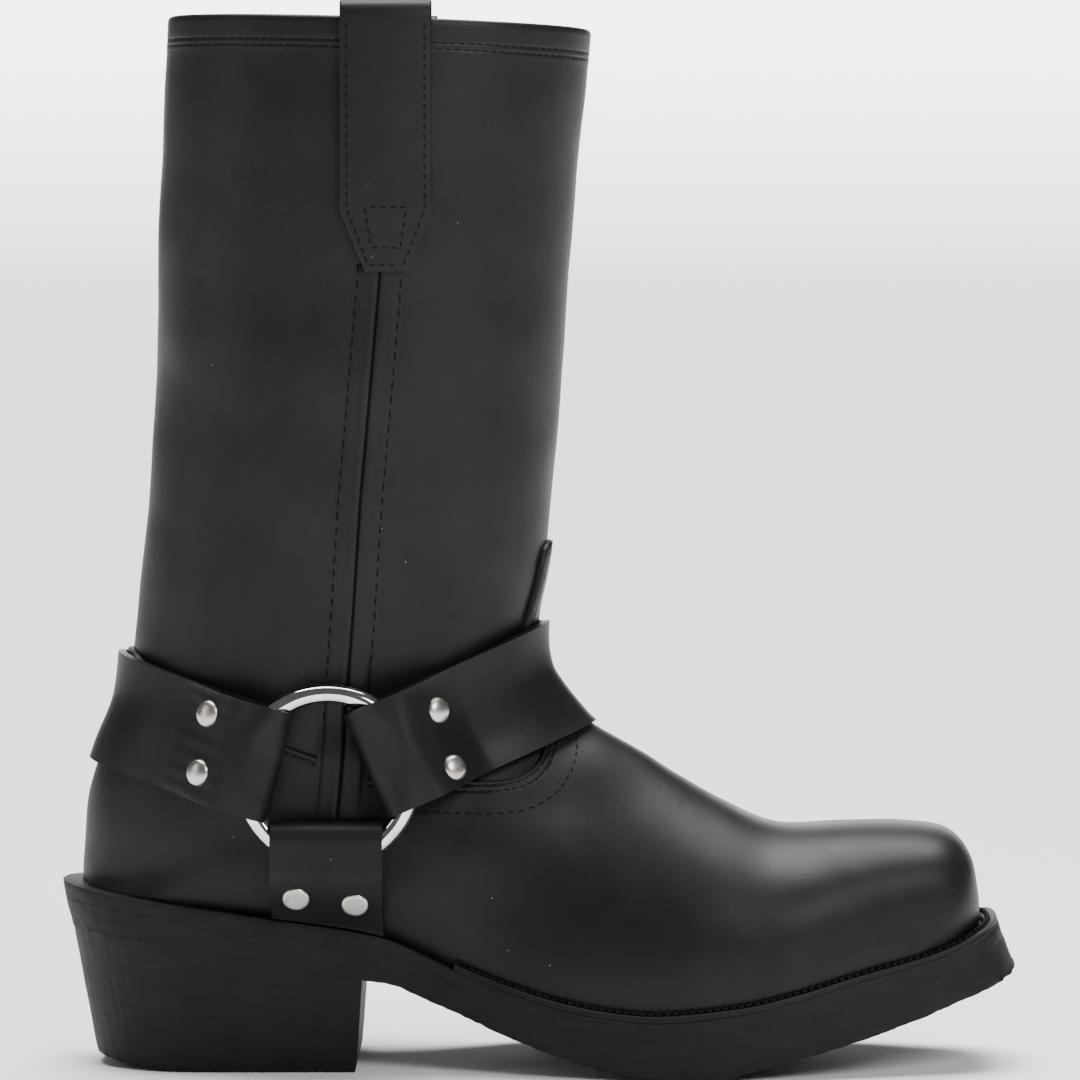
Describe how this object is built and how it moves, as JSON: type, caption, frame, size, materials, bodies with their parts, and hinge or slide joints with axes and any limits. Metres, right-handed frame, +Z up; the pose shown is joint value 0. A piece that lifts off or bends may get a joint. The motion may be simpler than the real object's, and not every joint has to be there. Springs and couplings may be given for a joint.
{
  "type": "harness boot",
  "caption": "Right pull-on harness boot with square toe, stacked heel, straps held by a ring on each side, rivets and pull loops.",
  "frame": {"origin": "on the floor, in the middle of the heel's flat underside", "axes": "+X to the toe, +Y to the wearer's left (the inner side of this right boot), +Z up"},
  "size_m": [0.3091, 0.1122, 0.341],
  "materials": {
    "leather": "black oiled leather, soft wide sheen",
    "strap": "black strap leather, smooth, cut edges",
    "welt": "black welt, stitched",
    "insole": "dark leather insole",
    "sole": "black rubber, matte, roughly trimmed edge",
    "ring": "polished",
    "rivet": "satin nickel"
  },
  "bodies": {
    "root": {"upper": "leather", "vamp": "leather", "counter": "leather", "side_seam_lateral": "leather", "side_seam_medial": "leather", "insole": "insole", "welt": "welt", "midsole": "sole", "outsole": "sole", "heel": "sole", "heel_strap": "strap", "instep_strap": "strap", "stirrup_strap_lateral": "strap", "stirrup_strap_medial": "strap", "pull_strap_lateral": "strap", "pull_strap_medial": "strap", "ring_lateral": "ring", "ring_medial": "ring", "rivet_heel_lateral_1": "rivet", "rivet_heel_lateral_2": "rivet", "rivet_heel_medial_1": "rivet", "rivet_heel_medial_2": "rivet", "rivet_instep_lateral_1": "rivet", "rivet_instep_lateral_2": "rivet", "rivet_instep_medial_1": "rivet", "rivet_instep_medial_2": "rivet", "rivet_stirrup_lateral_1": "rivet", "rivet_stirrup_lateral_2": "rivet", "rivet_stirrup_medial_1": "rivet", "rivet_stirrup_medial_2": "rivet"}
  },
  "joints": []
}
